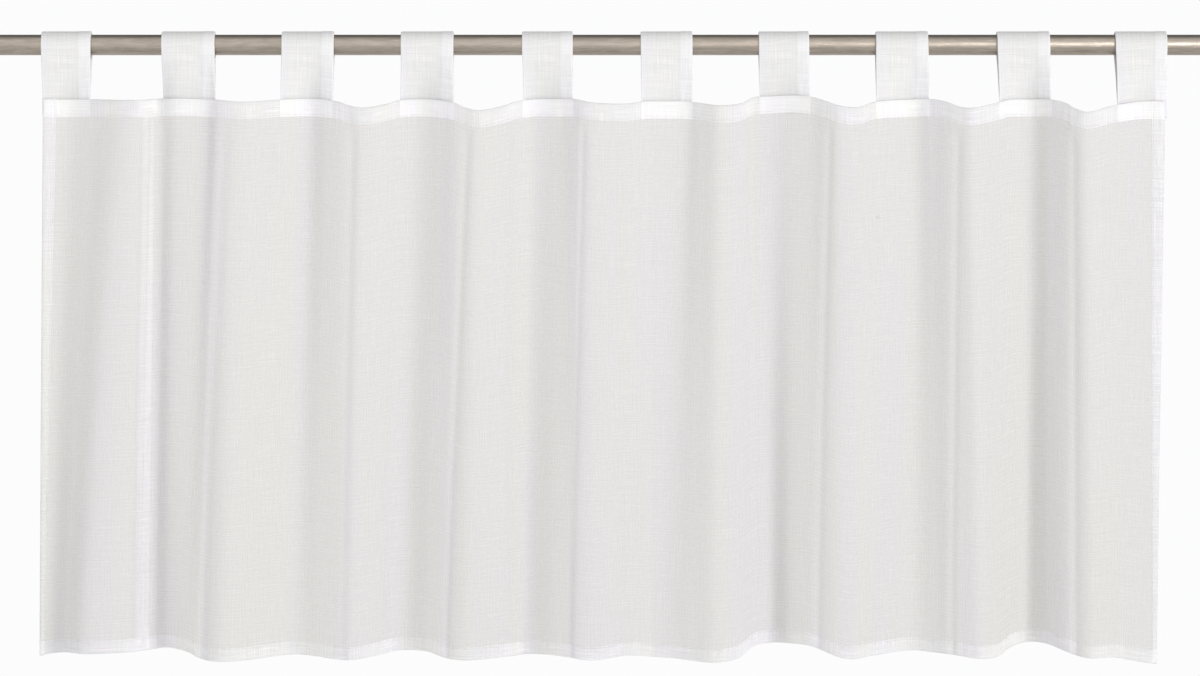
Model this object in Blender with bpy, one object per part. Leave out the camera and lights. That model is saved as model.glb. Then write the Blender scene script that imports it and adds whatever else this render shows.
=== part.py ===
"""Cafe curtain on a rod: one sheer cloth panel that hangs by ten sewn tabs on a plain metal rod.

Units are metres, with +Z up. The origin is the middle of the rod's axis, +X runs along the rod
to the right, and the front of the cloth faces -Y.
"""

import math
from collections import namedtuple

import bmesh
import bpy
from mathutils import Vector

MM = 0.001
SMOOTH_UNDER = math.radians(45)
CHAMFER_OVER = math.radians(60)

# Driving dimensions of the rod
ROD_DIAMETER = 0.020
ROD_LENGTH = 1.200
ROD_CHAMFER = 0.0006
ROD_SIDES = 48

# Driving dimensions of the panel
HEADER_EDGE_Z = -0.0531
BOTTOM_EDGE_Z = -0.5953
CLOTH_THICKNESS = 0.0010
HEM_THICKNESS = 0.0018
HEADER_HEM = 0.0166
BOTTOM_HEM = 0.0127
SIDE_HEM = 0.0127
HEM_STEP = 0.0012
BODY_BANDS = 6
FOLD_EASE = 1.2
STEPS_PER_FOLD = 3

# Driving dimensions of the tabs
TAB_THICKNESS_ON_ROD = 0.0028
TAB_THICKNESS_AT_SEAM = 0.0014
TAB_CLEARANCE = 0.0006
SEAM_CLEARANCE = 0.0007
TAB_TAIL = 0.0160
TAB_CROTCH_LIFT = 0.0015
TAB_COLUMNS = 8
TAB_LEG_STEPS = 2
TAB_ARC_STEPS = 10

# Each row is one line of the folds, from the left edge of the cloth to the right one. It gives
# the place along the rod, the depth behind the rod's axis and the sag of the header's edge, then
# the same at the bottom edge, where the last value is how far the edge is lifted. Millimetres.
Fold = namedtuple("Fold", "head_x head_y head_sag hem_x hem_y hem_lift")
FOLDS = (
    Fold(-543, 2, 0.0, -547, 7, 0.2),
    Fold(-519, 4, 0.0, -537, 5, 2.0),
    Fold(-495, -4, 0.3, -520, -9, 4.0),
    Fold(-467, -17, 1.6, -500, -22, 3.0),
    Fold(-448, -17, 1.6, -458, -17, 4.4),
    Fold(-438, -6, 0.6, -447, -5, 5.2),
    Fold(-431, 1, -0.4, -440, 12, 5.4),
    Fold(-414, -6, -0.5, -421, -4, 8.4),
    Fold(-383, -9, 0.3, -400, -15, 4.2),
    Fold(-371, -17, 1.4, -388, -20, -1.8),
    Fold(-348, -20, 3.6, -367, -27, -4.2),
    Fold(-322, -13, 1.9, -332, -15, -1.8),
    Fold(-308, -8, 0.5, -319, -9, 0.0),
    Fold(-284, -1, -0.5, -296, -3, 1.7),
    Fold(-267, -9, 1.0, -275, -9, 0.0),
    Fold(-253, -15, 3.6, -261, -13, -2.0),
    Fold(-245, -17, 6.6, -253, -15, -3.0),
    Fold(-231, -20, 9.2, -241, -17, -3.0),
    Fold(-209, -14, 5.7, -216, -7, 1.0),
    Fold(-193, -6, 1.0, -202, 2, 4.3),
    Fold(-176, -4, 0.0, -190, 3, 5.5),
    Fold(-156, -11, 1.5, -168, -8, 4.6),
    Fold(-142, -18, 4.2, -153, -14, -0.6),
    Fold(-132, -21, 8.7, -146, -17, -2.0),
    Fold(-118, -24, 11.9, -129, -21, -3.2),
    Fold(-93, -16, 7.0, -97, -13, -0.8),
    Fold(-80, -7, 2.4, -84, -5, 0.4),
    Fold(-65, -1, 0.0, -73, 0, 1.7),
    Fold(-38, -8, 0.0, -47, -12, 1.6),
    Fold(-24, -15, 0.6, -32, -17, -0.4),
    Fold(-18, -18, 2.0, -27, -20, -1.0),
    Fold(-7, -20, 4.2, -9, -22, -3.2),
    Fold(27, -13, 5.0, 27, -12, 1.0),
    Fold(42, -7, 2.5, 42, -8, 0.5),
    Fold(68, 0, 1.8, 58, -5, -0.9),
    Fold(84, 1, 2.0, 72, -7, -1.9),
    Fold(99, -6, 4.2, 90, -12, -4.0),
    Fold(116, -13, 6.6, 112, -17, -5.6),
    Fold(138, -8, 4.4, 134, -10, -1.9),
    Fold(150, -1, -1.6, 150, -1, 9.6),
    Fold(168, 0, -3.0, 166, 4, 12.6),
    Fold(188, -4, -3.6, 183, -10, 13.0),
    Fold(207, -10, -1.6, 202, -18, 11.2),
    Fold(221, -17, 3.2, 214, -22, 7.2),
    Fold(232, -21, 7.0, 229, -26, 1.2),
    Fold(250, -19, 8.8, 243, -25, -1.8),
    Fold(268, -11, 3.0, 271, -14, 2.1),
    Fold(306, 2, 0.0, 305, 0, 5.5),
    Fold(322, -4, 0.0, 326, -5, 3.6),
    Fold(337, -12, 3.2, 341, -12, 2.0),
    Fold(349, -17, 8.0, 352, -15, 0.4),
    Fold(361, -20, 9.4, 369, -18, -1.8),
    Fold(384, -9, 4.8, 387, -9, -0.4),
    Fold(399, -1, 0.5, 400, 0, 8.0),
    Fold(420, 4, 0.0, 416, 8, 13.0),
    Fold(437, -7, 0.5, 434, -8, 12.4),
    Fold(452, -17, 4.2, 451, -20, 6.0),
    Fold(460, -22, 9.4, 464, -25, 1.2),
    Fold(473, -25, 13.5, 477, -28, -0.8),
    Fold(500, -11, 6.6, 498, -21, -0.1),
    Fold(528, -1, 2.2, 533, -12, -6.3),
    Fold(551, 2, 2.4, 542, -9, -6.5),
)

# Each row is one tab, with its left and right edge at the header and on the rod. Millimetres.
Tab = namedtuple("Tab", "head_left head_right rod_left rod_right")
TABS = (
    Tab(-544, -497, -544, -495.5),
    Tab(-426, -374, -427, -375),
    Tab(-311, -260, -310, -259),
    Tab(-194.5, -142, -194, -142.5),
    Tab(-74.5, -26.5, -76, -26.5),
    Tab(40.5, 90, 39.5, 90),
    Tab(156, 204.5, 154.5, 203.5),
    Tab(269, 321, 268.5, 319.5),
    Tab(389.5, 439.5, 386.5, 438),
    Tab(504, 553.5, 501.5, 552),
)


def clear_scene():
    for obj in list(bpy.data.objects):
        bpy.data.objects.remove(obj, do_unlink=True)


def plain_material(name, colour, roughness, metallic=0.0):
    material = bpy.data.materials.new(name)
    material.use_nodes = True
    shader = material.node_tree.nodes["Principled BSDF"]
    shader.inputs["Base Color"].default_value = (*colour, 1.0)
    shader.inputs["Roughness"].default_value = roughness
    shader.inputs["Metallic"].default_value = metallic
    material.diffuse_color = (*colour, 1.0)
    return material


def add_object(name, shape, material):
    """Turns a finished bmesh into a named, smooth-shaded object and frees it."""
    mesh = bpy.data.meshes.new(name)
    shape.to_mesh(mesh)
    shape.free()
    mesh.shade_smooth()
    mesh.set_sharp_from_angle(angle=SMOOTH_UNDER)
    mesh.materials.append(material)
    obj = bpy.data.objects.new(name, mesh)
    bpy.context.scene.collection.objects.link(obj)
    return obj


def smooth_curve(points, steps):
    """Samples a centripetal Catmull-Rom curve, which passes through all of its points."""
    first = points[0] * 2 - points[1]
    last = points[-1] * 2 - points[-2]
    padded = [first, *points, last]
    samples = []
    for index in range(len(points) - 1):
        corners = padded[index : index + 4]
        knots = [0.0]
        for before, after in zip(corners, corners[1:]):
            knots.append(knots[-1] + math.sqrt((after - before).length))
        for step in range(steps):
            place = knots[1] + (knots[2] - knots[1]) * step / steps
            samples.append(curve_point(corners, knots, place))
    samples.append(points[-1].copy())
    return samples


def curve_point(corners, knots, place):
    """The point of one Catmull-Rom span at this place between its knots."""
    layer = corners
    for width in (1, 2, 3):
        # The last two rounds blend over the wide and then the middle span of the knots.
        merged = []
        for index in range(len(layer) - 1):
            low = knots[index] if width < 3 else knots[1]
            high = knots[index + width] if width < 3 else knots[2]
            share = (place - low) / (high - low)
            merged.append(layer[index].lerp(layer[index + 1], share))
        layer = merged
    return layer[0]


def edge_curve(places, height):
    """One edge of the cloth's front face, from places along the rod, in depth and above height."""
    points = [Vector(place) * MM + Vector((0, 0, height)) for place in places]
    return smooth_curve(points, STEPS_PER_FOLD)


def header_curve():
    return edge_curve([(f.head_x, f.head_y, -f.head_sag) for f in FOLDS], HEADER_EDGE_Z)


def bottom_curve():
    return edge_curve([(f.hem_x, f.hem_y, f.hem_lift) for f in FOLDS], BOTTOM_EDGE_Z)


def drops_down_the_cloth():
    """How far below the header's edge each line of the mesh runs, with a step at both hems."""
    length = HEADER_EDGE_Z - BOTTOM_EDGE_Z
    body_top = HEADER_HEM + HEM_STEP
    body_height = length - BOTTOM_HEM - HEM_STEP - body_top
    body = [body_top + body_height * band / BODY_BANDS for band in range(BODY_BANDS + 1)]
    return [0.0, HEADER_HEM, *body, length - BOTTOM_HEM, length]


def cloth_point(top, bottom, drop):
    """A point of the cloth's front face. The header hem is stiff, so the folds start below it."""
    length = HEADER_EDGE_Z - BOTTOM_EDGE_Z
    left_to_fall = min(1.0, (length - drop) / (length - HEADER_HEM))
    point = top.lerp(bottom, 1 - left_to_fall**FOLD_EASE)
    point.z = top.z + (bottom.z - top.z) * drop / length
    return point


def edge_distances(edge):
    """The length of cloth from the nearer side edge to each point of the header."""
    along = [0.0]
    for before, after in zip(edge, edge[1:]):
        along.append(along[-1] + (after - before).length)
    return [min(distance, along[-1] - distance) for distance in along]


def make_panel(material):
    """One sheet on the folds, thickened to the back, and thicker where a hem is turned over."""
    tops = header_curve()
    bottoms = bottom_curve()
    drops = drops_down_the_cloth()
    shape = bmesh.new()
    rows = []
    for drop in drops:
        points = [cloth_point(top, bottom, drop) for top, bottom in zip(tops, bottoms)]
        rows.append([shape.verts.new(point) for point in points])
    for upper, lower in zip(rows, rows[1:]):
        for column in range(len(upper) - 1):
            shape.faces.new((upper[column], lower[column], lower[column + 1], upper[column + 1]))
    panel = add_object("panel", shape, material)

    layers = panel.vertex_groups.new(name="thickness")
    side = edge_distances(tops)
    length = drops[-1]
    for row, drop in enumerate(drops):
        for column in range(len(tops)):
            index = row * len(tops) + column
            turned = drop <= HEADER_HEM or drop >= length - BOTTOM_HEM or side[column] <= SIDE_HEM
            layers.add([index], 1.0 if turned else CLOTH_THICKNESS / HEM_THICKNESS, "REPLACE")

    solid = panel.modifiers.new("Cloth thickness", "SOLIDIFY")
    solid.thickness = HEM_THICKNESS
    solid.offset = -1.0
    solid.use_rim = True
    solid.vertex_group = layers.name
    return panel


def seam_behind_header(edge, x):
    """Where a tab's tail starts at this place along the rod, in depth and height."""
    x = min(max(x, edge[0].x), edge[-1].x)
    spans = [span for span in zip(edge, edge[1:]) if span[0].x <= x <= span[1].x]
    before, after = spans[0]
    header = before.lerp(after, (x - before.x) / (after.x - before.x))
    slant = math.hypot(after.x - before.x, after.y - before.y) / (after.x - before.x)
    return header.y + (HEM_THICKNESS + SEAM_CLEARANCE) * slant, header.z


# A tab's section in Y and Z, from its front leg over the rod to its back leg: the points of its
# outer face and of its inner face, which starts and ends at the crotch, and the tail's two corners.
Section = namedtuple("Section", "outer inner tail")


def tab_section(front_y, header_z):
    """The section of a tab whose tail starts at this depth, behind a header of this height."""
    radius = (ROD_DIAMETER + TAB_THICKNESS_ON_ROD) / 2 + TAB_CLEARANCE
    seam_z = header_z + TAB_CROTCH_LIFT
    crotch = Vector((front_y + TAB_THICKNESS_AT_SEAM, seam_z))
    reach = math.acos(radius / crotch.length)
    facing = math.atan2(crotch.y, crotch.x)
    arc_start = facing - reach + 2 * math.pi
    arc_end = facing + reach

    outer = [Vector((front_y, seam_z))]
    inner = [crotch]

    def add_leg(start, end, steps):
        """Points part of the way up or down a leg, which thins out towards the seam."""
        for step in steps:
            share = step / TAB_LEG_STEPS
            middle = start.lerp(end, share)
            height = share if end.y > start.y else 1 - share
            thickness = TAB_THICKNESS_AT_SEAM * (1 - height) + TAB_THICKNESS_ON_ROD * height
            run = (end - start).normalized()
            outward = Vector((-run.y, run.x))
            outer.append(middle + outward * thickness / 2)
            inner.append(middle - outward * thickness / 2)

    def on_circle(angle, distance):
        return Vector((math.cos(angle), math.sin(angle))) * distance

    half_seam = Vector((TAB_THICKNESS_AT_SEAM / 2, 0))
    add_leg(crotch - half_seam, on_circle(arc_start, radius), range(1, TAB_LEG_STEPS))
    for step in range(TAB_ARC_STEPS + 1):
        angle = arc_start + (arc_end - arc_start) * step / TAB_ARC_STEPS
        outer.append(on_circle(angle, radius + TAB_THICKNESS_ON_ROD / 2))
        inner.append(on_circle(angle, radius - TAB_THICKNESS_ON_ROD / 2))
    add_leg(on_circle(arc_end, radius), crotch + half_seam, range(1, TAB_LEG_STEPS))
    outer.append(Vector((front_y + 2 * TAB_THICKNESS_AT_SEAM, seam_z)))
    tail_z = header_z - TAB_TAIL
    tail = [Vector((outer[0].x, tail_z)), Vector((outer[-1].x, tail_z))]
    return Section(outer, [*inner, crotch], tail)


def add_strip(shape, near, far):
    """Faces between two lines of points that have the same number of points."""
    for (a, b), (c, d) in zip(zip(near, near[1:]), zip(far, far[1:])):
        shape.faces.new((a, b, d, c))


def cap_end(shape, section):
    """The side face of a tab: a band round the loop, and the tail below its crotch."""
    outer, inner, tail = section
    for step in range(len(outer) - 1):
        corners = [outer[step], outer[step + 1], inner[step + 1], inner[step]]
        shape.faces.new(list(dict.fromkeys(corners)))
    shape.faces.new((tail[0], outer[0], inner[0], outer[-1], tail[1]))


def make_tab(name, tab, edge, material):
    """A strip over the rod. Its two ends are one tail, which is sewn to the header's back."""
    shape = bmesh.new()
    sections = []
    for column in range(TAB_COLUMNS + 1):
        across = column / TAB_COLUMNS
        head_x = (tab.head_left + (tab.head_right - tab.head_left) * across) * MM
        rod_x = (tab.rod_left + (tab.rod_right - tab.rod_left) * across) * MM
        seam_y, header_z = seam_behind_header(edge, head_x)

        def place(points):
            """Puts section points at their place along the rod, by their height up the leg."""
            corners = {}
            for point in points:
                share = min(max((point.y - header_z) / -header_z, 0.0), 1.0)
                x = head_x + (rod_x - head_x) * share
                key = tuple(point)
                if key not in corners:
                    corners[key] = shape.verts.new((x, point.x, point.y))
            return [corners[tuple(point)] for point in points]

        sections.append(Section(*map(place, tab_section(seam_y, header_z))))

    for left, right in zip(sections, sections[1:]):
        left_skin = [left.tail[0], *left.outer, *reversed(left.tail)]
        right_skin = [right.tail[0], *right.outer, *reversed(right.tail)]
        add_strip(shape, left_skin, right_skin)
        add_strip(shape, left.inner, right.inner)
    cap_end(shape, sections[0])
    cap_end(shape, sections[-1])
    bmesh.ops.recalc_face_normals(shape, faces=shape.faces)
    return add_object(name, shape, material)


def make_rod(material):
    shape = bmesh.new()
    bmesh.ops.create_cone(
        shape,
        cap_ends=True,
        segments=ROD_SIDES,
        radius1=ROD_DIAMETER / 2,
        radius2=ROD_DIAMETER / 2,
        depth=ROD_LENGTH,
    )
    rod = add_object("rod", shape, material)
    rod.rotation_euler = (0, math.pi / 2, 0)
    chamfer = rod.modifiers.new("End chamfer", "BEVEL")
    chamfer.width = ROD_CHAMFER
    chamfer.segments = 1
    chamfer.limit_method = "ANGLE"
    chamfer.angle_limit = CHAMFER_OVER
    return rod


def main():
    clear_scene()
    cloth = plain_material("sheer cloth", (0.78, 0.78, 0.77), 0.9)
    tape = plain_material("tab cloth", (0.84, 0.84, 0.85), 0.9)
    metal = plain_material("brushed metal", (0.33, 0.30, 0.26), 0.38, 1.0)
    make_rod(metal)
    make_panel(cloth)
    edge = header_curve()
    for number, tab in enumerate(TABS, start=1):
        make_tab(f"tab_{number:02d}", tab, edge, tape)


main()
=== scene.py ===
"""The looks of a cafe curtain: a sheer slubbed cloth with turned hems, ten sewn tabs and a rod.

Units are metres, with +Z up. The front of the cloth faces -Y, and the rod's axis lies on X.
"""

import math
from bisect import bisect_left
from collections import namedtuple

import bpy
from bpy.props import FloatProperty, FloatVectorProperty, IntProperty, PointerProperty
from bpy.types import Operator, Panel, PropertyGroup
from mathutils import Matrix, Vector, noise


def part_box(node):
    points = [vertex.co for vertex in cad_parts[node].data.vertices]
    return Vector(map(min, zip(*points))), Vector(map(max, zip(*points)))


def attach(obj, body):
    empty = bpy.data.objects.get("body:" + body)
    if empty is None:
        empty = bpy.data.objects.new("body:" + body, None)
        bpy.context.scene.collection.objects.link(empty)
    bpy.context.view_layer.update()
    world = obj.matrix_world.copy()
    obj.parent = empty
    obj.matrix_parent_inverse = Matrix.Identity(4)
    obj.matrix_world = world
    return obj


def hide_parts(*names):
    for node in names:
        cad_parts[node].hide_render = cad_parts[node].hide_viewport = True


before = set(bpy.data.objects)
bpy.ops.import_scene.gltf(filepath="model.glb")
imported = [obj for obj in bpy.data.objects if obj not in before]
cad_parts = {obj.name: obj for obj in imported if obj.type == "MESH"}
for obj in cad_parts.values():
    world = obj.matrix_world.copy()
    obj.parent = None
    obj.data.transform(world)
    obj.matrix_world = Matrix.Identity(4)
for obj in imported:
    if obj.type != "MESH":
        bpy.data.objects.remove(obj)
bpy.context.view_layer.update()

bl_info = {
    "name": "Cafe curtain on a rod",
    "version": (1, 0, 0),
    "blender": (4, 5, 0),
    "location": "View3D > Sidebar > Cafe curtain",
    "description": "Dresses a hanging cafe curtain, its tabs, its stitching and its rod",
    "category": "Object",
}

MM = 0.001
BODY = "root"
ROD_LOW, ROD_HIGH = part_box("rod")
ROD_DIAMETER = ROD_HIGH[2] - ROD_LOW[2]
ROD_LENGTH = ROD_HIGH[0] - ROD_LOW[0]

# The heights of the cloth's two edges, how early its folds change on the way down, and the sizes
# that a tab's ends need: the hem before them, the gap between, and where its legs part.
HEADER_EDGE_Z = -0.0531
BOTTOM_EDGE_Z = -0.5953
FOLD_EASE = 1.2
CAD_HEM_THICKNESS = 0.0018
SEAM_CLEARANCE = 0.0007
TAB_CROTCH_LIFT = 0.0015

# Each row is one line of the folds, from the left edge of the cloth to the right one. It gives
# the place along the rod, the depth behind the rod's axis and the sag of the header's edge, then
# the same at the bottom edge, where the last value is how far the edge is lifted. Millimetres.
Fold = namedtuple("Fold", "head_x head_y head_sag hem_x hem_y hem_lift")
FOLDS = (
    Fold(-543, 2, 0.0, -547, 7, 0.2),
    Fold(-519, 4, 0.0, -537, 5, 2.0),
    Fold(-495, -4, 0.3, -520, -9, 4.0),
    Fold(-467, -17, 1.6, -500, -22, 3.0),
    Fold(-448, -17, 1.6, -458, -17, 4.4),
    Fold(-438, -6, 0.6, -447, -5, 5.2),
    Fold(-431, 1, -0.4, -440, 12, 5.4),
    Fold(-414, -6, -0.5, -421, -4, 8.4),
    Fold(-383, -9, 0.3, -400, -15, 4.2),
    Fold(-371, -17, 1.4, -388, -20, -1.8),
    Fold(-348, -20, 3.6, -367, -27, -4.2),
    Fold(-322, -13, 1.9, -332, -15, -1.8),
    Fold(-308, -8, 0.5, -319, -9, 0.0),
    Fold(-284, -1, -0.5, -296, -3, 1.7),
    Fold(-267, -9, 1.0, -275, -9, 0.0),
    Fold(-253, -15, 3.6, -261, -13, -2.0),
    Fold(-245, -17, 6.6, -253, -15, -3.0),
    Fold(-231, -20, 9.2, -241, -17, -3.0),
    Fold(-209, -14, 5.7, -216, -7, 1.0),
    Fold(-193, -6, 1.0, -202, 2, 4.3),
    Fold(-176, -4, 0.0, -190, 3, 5.5),
    Fold(-156, -11, 1.5, -168, -8, 4.6),
    Fold(-142, -18, 4.2, -153, -14, -0.6),
    Fold(-132, -21, 8.7, -146, -17, -2.0),
    Fold(-118, -24, 11.9, -129, -21, -3.2),
    Fold(-93, -16, 7.0, -97, -13, -0.8),
    Fold(-80, -7, 2.4, -84, -5, 0.4),
    Fold(-65, -1, 0.0, -73, 0, 1.7),
    Fold(-38, -8, 0.0, -47, -12, 1.6),
    Fold(-24, -15, 0.6, -32, -17, -0.4),
    Fold(-18, -18, 2.0, -27, -20, -1.0),
    Fold(-7, -20, 4.2, -9, -22, -3.2),
    Fold(27, -13, 5.0, 27, -12, 1.0),
    Fold(42, -7, 2.5, 42, -8, 0.5),
    Fold(68, 0, 1.8, 58, -5, -0.9),
    Fold(84, 1, 2.0, 72, -7, -1.9),
    Fold(99, -6, 4.2, 90, -12, -4.0),
    Fold(116, -13, 6.6, 112, -17, -5.6),
    Fold(138, -8, 4.4, 134, -10, -1.9),
    Fold(150, -1, -1.6, 150, -1, 9.6),
    Fold(168, 0, -3.0, 166, 4, 12.6),
    Fold(188, -4, -3.6, 183, -10, 13.0),
    Fold(207, -10, -1.6, 202, -18, 11.2),
    Fold(221, -17, 3.2, 214, -22, 7.2),
    Fold(232, -21, 7.0, 229, -26, 1.2),
    Fold(250, -19, 8.8, 243, -25, -1.8),
    Fold(268, -11, 3.0, 271, -14, 2.1),
    Fold(306, 2, 0.0, 305, 0, 5.5),
    Fold(322, -4, 0.0, 326, -5, 3.6),
    Fold(337, -12, 3.2, 341, -12, 2.0),
    Fold(349, -17, 8.0, 352, -15, 0.4),
    Fold(361, -20, 9.4, 369, -18, -1.8),
    Fold(384, -9, 4.8, 387, -9, -0.4),
    Fold(399, -1, 0.5, 400, 0, 8.0),
    Fold(420, 4, 0.0, 416, 8, 13.0),
    Fold(437, -7, 0.5, 434, -8, 12.4),
    Fold(452, -17, 4.2, 451, -20, 6.0),
    Fold(460, -22, 9.4, 464, -25, 1.2),
    Fold(473, -25, 13.5, 477, -28, -0.8),
    Fold(500, -11, 6.6, 498, -21, -0.1),
    Fold(528, -1, 2.2, 533, -12, -6.3),
    Fold(551, 2, 2.4, 542, -9, -6.5),
)

# Each row is one tab, with its left and right edge at the header and on the rod. Millimetres.
Tab = namedtuple("Tab", "head_left head_right rod_left rod_right")
TABS = (
    Tab(-544, -497, -544, -495.5),
    Tab(-426, -374, -427, -375),
    Tab(-311, -260, -310, -259),
    Tab(-194.5, -142, -194, -142.5),
    Tab(-74.5, -26.5, -76, -26.5),
    Tab(40.5, 90, 39.5, 90),
    Tab(156, 204.5, 154.5, 203.5),
    Tab(269, 321, 268.5, 319.5),
    Tab(389.5, 439.5, 386.5, 438),
    Tab(504, 553.5, 501.5, 552),
)

# Each row is one fine crease, which runs down the cloth just right of a fold's ridge. It gives the
# place along the rod and the depth at the header, the same at the bottom edge, and half the width.
Crease = namedtuple("Crease", "head_x head_depth hem_x hem_depth half_width")
CREASES = (
    Crease(-424, 0.6, -433, 1.6, 4.0),
    Crease(-363, 1.3, -387, 1.5, 3.6),
    Crease(-240, 1.3, -250, 0.3, 3.6),
    Crease(-203, 0.6, -214, 0.5, 4.2),
    Crease(-128, 1.4, -150, 1.3, 3.5),
    Crease(-16, 1.3, -29, 1.3, 3.3),
    Crease(18, 0.5, 18, 0.5, 5.0),
    Crease(50, 0.6, 50, 0.6, 3.2),
    Crease(149, 0.9, 152, 0.9, 3.2),
    Crease(223, 1.2, 211, 1.5, 3.6),
    Crease(260, 0.6, 258, 0.5, 4.2),
    Crease(348, 1.3, 342, 1.4, 3.4),
    Crease(382, 0.7, 375, 0.6, 4.0),
    Crease(459, 1.5, 461, 1.6, 3.6),
    Crease(490, 0.6, 484, 0.3, 4.2),
)

# Two small marks in the cloth, by place along the rod, height and radius. Millimetres.
Speck = namedtuple("Speck", "x z radius strength")
SPECKS = (
    Speck(270, -168, 3.2, 0.35),
    Speck(181, -116, 2.6, 0.12),
)


def length_property(name, description, default):
    return FloatProperty(
        name=name, description=description, default=default, min=0.0, precision=5, unit="LENGTH"
    )


def share_property(name, description, default):
    return FloatProperty(
        name=name, description=description, default=default, min=0.0, max=1.0, subtype="FACTOR"
    )


def colour_property(name, description, default):
    return FloatVectorProperty(
        name=name, description=description, default=default, min=0.0, max=1.0, subtype="COLOR"
    )


class ClothSettings(PropertyGroup):
    """The sheer cloth and its turned hems."""

    header_hem: length_property("Header hem", "Height of the hem turned over at the top", 0.0166)
    bottom_hem: length_property("Bottom hem", "Height of the hem turned up at the bottom", 0.0127)
    side_hem: length_property("Side hem", "Width of the hems turned in at both sides", 0.0127)
    set_back: length_property("Set back", "Depth of the cloth inside its solid", 0.0003)
    hem_gap: length_property("Hem gap", "Distance between the layers of a hem", 0.0006)
    row_height: length_property("Row height", "Height of one row of the mesh", 0.0042)
    fold_steps: IntProperty(
        name="Fold steps", description="Columns of the mesh from fold to fold", default=6, min=2
    )
    sway: length_property("Sway", "How far the cloth strays from its folds", 0.0014)
    pucker: length_property("Pucker", "Depth of the small unevenness of the cloth", 0.00025)
    single_colour: colour_property("One layer", "Colour of a single layer", (0.667, 0.6575, 0.646))
    layered_colour: colour_property("Layers", "Colour of many layers", (0.89, 0.886, 0.896))
    cover: share_property("Cover", "Share of a single layer that its threads cover", 0.72)
    thread_pitch: length_property("Thread pitch", "Distance from thread to thread", 0.00062)


class TabSettings(PropertyGroup):
    """The sewn tabs."""

    thickness_on_rod: length_property("On the rod", "Thickness of a tab over the rod", 0.0028)
    thickness_at_seam: length_property("At the seam", "Thickness of a tab at its seam", 0.00135)
    clearance: length_property("Clearance", "Distance between a tab and the rod", 0.0006)
    tail: length_property("Tail", "Length of a tab's ends behind the header", 0.0160)
    right_seam: length_property("Right seam", "Width of the seam at the right of a tab", 0.0112)
    sway: length_property("Sway", "How far a tab's legs stray from straight", 0.0006)
    cover: share_property("Cover", "Share of a layer that its threads cover", 0.88)
    body_colour: colour_property("Tab", "Colour of a tab", (0.795, 0.791, 0.799))
    seam_colour: colour_property("Tab seam", "Colour over a tab's seams", (0.845, 0.842, 0.85))


class StitchSettings(PropertyGroup):
    """The lines of stitching that hold the hems."""

    pitch: length_property("Pitch", "Distance from stitch to stitch", 0.0028)
    length: length_property("Length", "Length of one stitch", 0.0023)
    thread: length_property("Thread", "Diameter of the thread", 0.00034)
    inset: length_property("Inset", "Distance of the stitching from a hem's inner edge", 0.0016)
    colour: colour_property("Thread colour", "Colour of the thread", (0.86, 0.86, 0.865))


class RodSettings(PropertyGroup):
    """The plain metal rod."""

    diameter: length_property("Diameter", "Diameter of the rod", ROD_DIAMETER)
    length: length_property("Length", "Length of the rod", ROD_LENGTH)
    chamfer: length_property("Chamfer", "Size of the rounding at the ends", 0.0006)
    sides: IntProperty(name="Sides", description="Sides of the rod", default=96, min=12)
    light_colour: colour_property("Metal", "Colour of the bright metal", (0.52, 0.455, 0.39))
    dark_colour: colour_property("Patina", "Colour of the dulled metal", (0.30, 0.262, 0.222))


class StudioSettings(PropertyGroup):
    """The floor, the light and the camera."""

    floor_height: FloatProperty(
        name="Floor", description="Height of the floor", default=-1.05, unit="LENGTH"
    )
    floor_radius: length_property("Floor radius", "Radius of the floor", 9.0)
    ambient: FloatProperty(name="Ambient", description="Strength of the soft light", default=0.82)
    key: FloatProperty(name="Key", description="Strength of the light from the right", default=1.58)
    camera_distance: length_property("Camera distance", "Distance from the rod", 5.0)
    camera_height: FloatProperty(
        name="Camera height", description="Height of the camera", default=-0.2857, unit="LENGTH"
    )
    lens: FloatProperty(name="Lens", description="Focal length in millimetres", default=153.85)


class CurtainSettings(PropertyGroup):
    """All the sizes and colours of the curtain."""

    cloth: PointerProperty(type=ClothSettings)
    tabs: PointerProperty(type=TabSettings)
    stitches: PointerProperty(type=StitchSettings)
    rod: PointerProperty(type=RodSettings)
    studio: PointerProperty(type=StudioSettings)


def curve_point(corners, knots, place):
    """The point of one Catmull-Rom span at this place between its knots."""
    layer = corners
    for width in (1, 2, 3):
        # The last two rounds blend over the wide and then the middle span of the knots.
        merged = []
        for index in range(len(layer) - 1):
            low = knots[index] if width < 3 else knots[1]
            high = knots[index + width] if width < 3 else knots[2]
            share = (place - low) / (high - low)
            merged.append(layer[index].lerp(layer[index + 1], share))
        layer = merged
    return layer[0]


def point_on_curve(points, place):
    """A point of the smooth curve through these points. A place of 2.5 is halfway from 2 to 3."""
    last = len(points) - 1
    place = min(max(place, 0.0), float(last))
    index = min(int(place), last - 1)
    before = points[index - 1] if index > 0 else points[0] * 2 - points[1]
    after = points[index + 2] if index + 2 <= last else points[last] * 2 - points[last - 1]
    corners = [before, points[index], points[index + 1], after]
    knots = [0.0]
    for near, far in zip(corners, corners[1:]):
        knots.append(knots[-1] + math.sqrt((far - near).length))
    return curve_point(corners, knots, knots[1] + (knots[2] - knots[1]) * (place - index))


def smooth_share(value, low, high):
    """0 below low and 1 above high, with a soft change between them."""
    share = min(max((value - low) / (high - low), 0.0), 1.0)
    return share * share * (3 - 2 * share)


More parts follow.
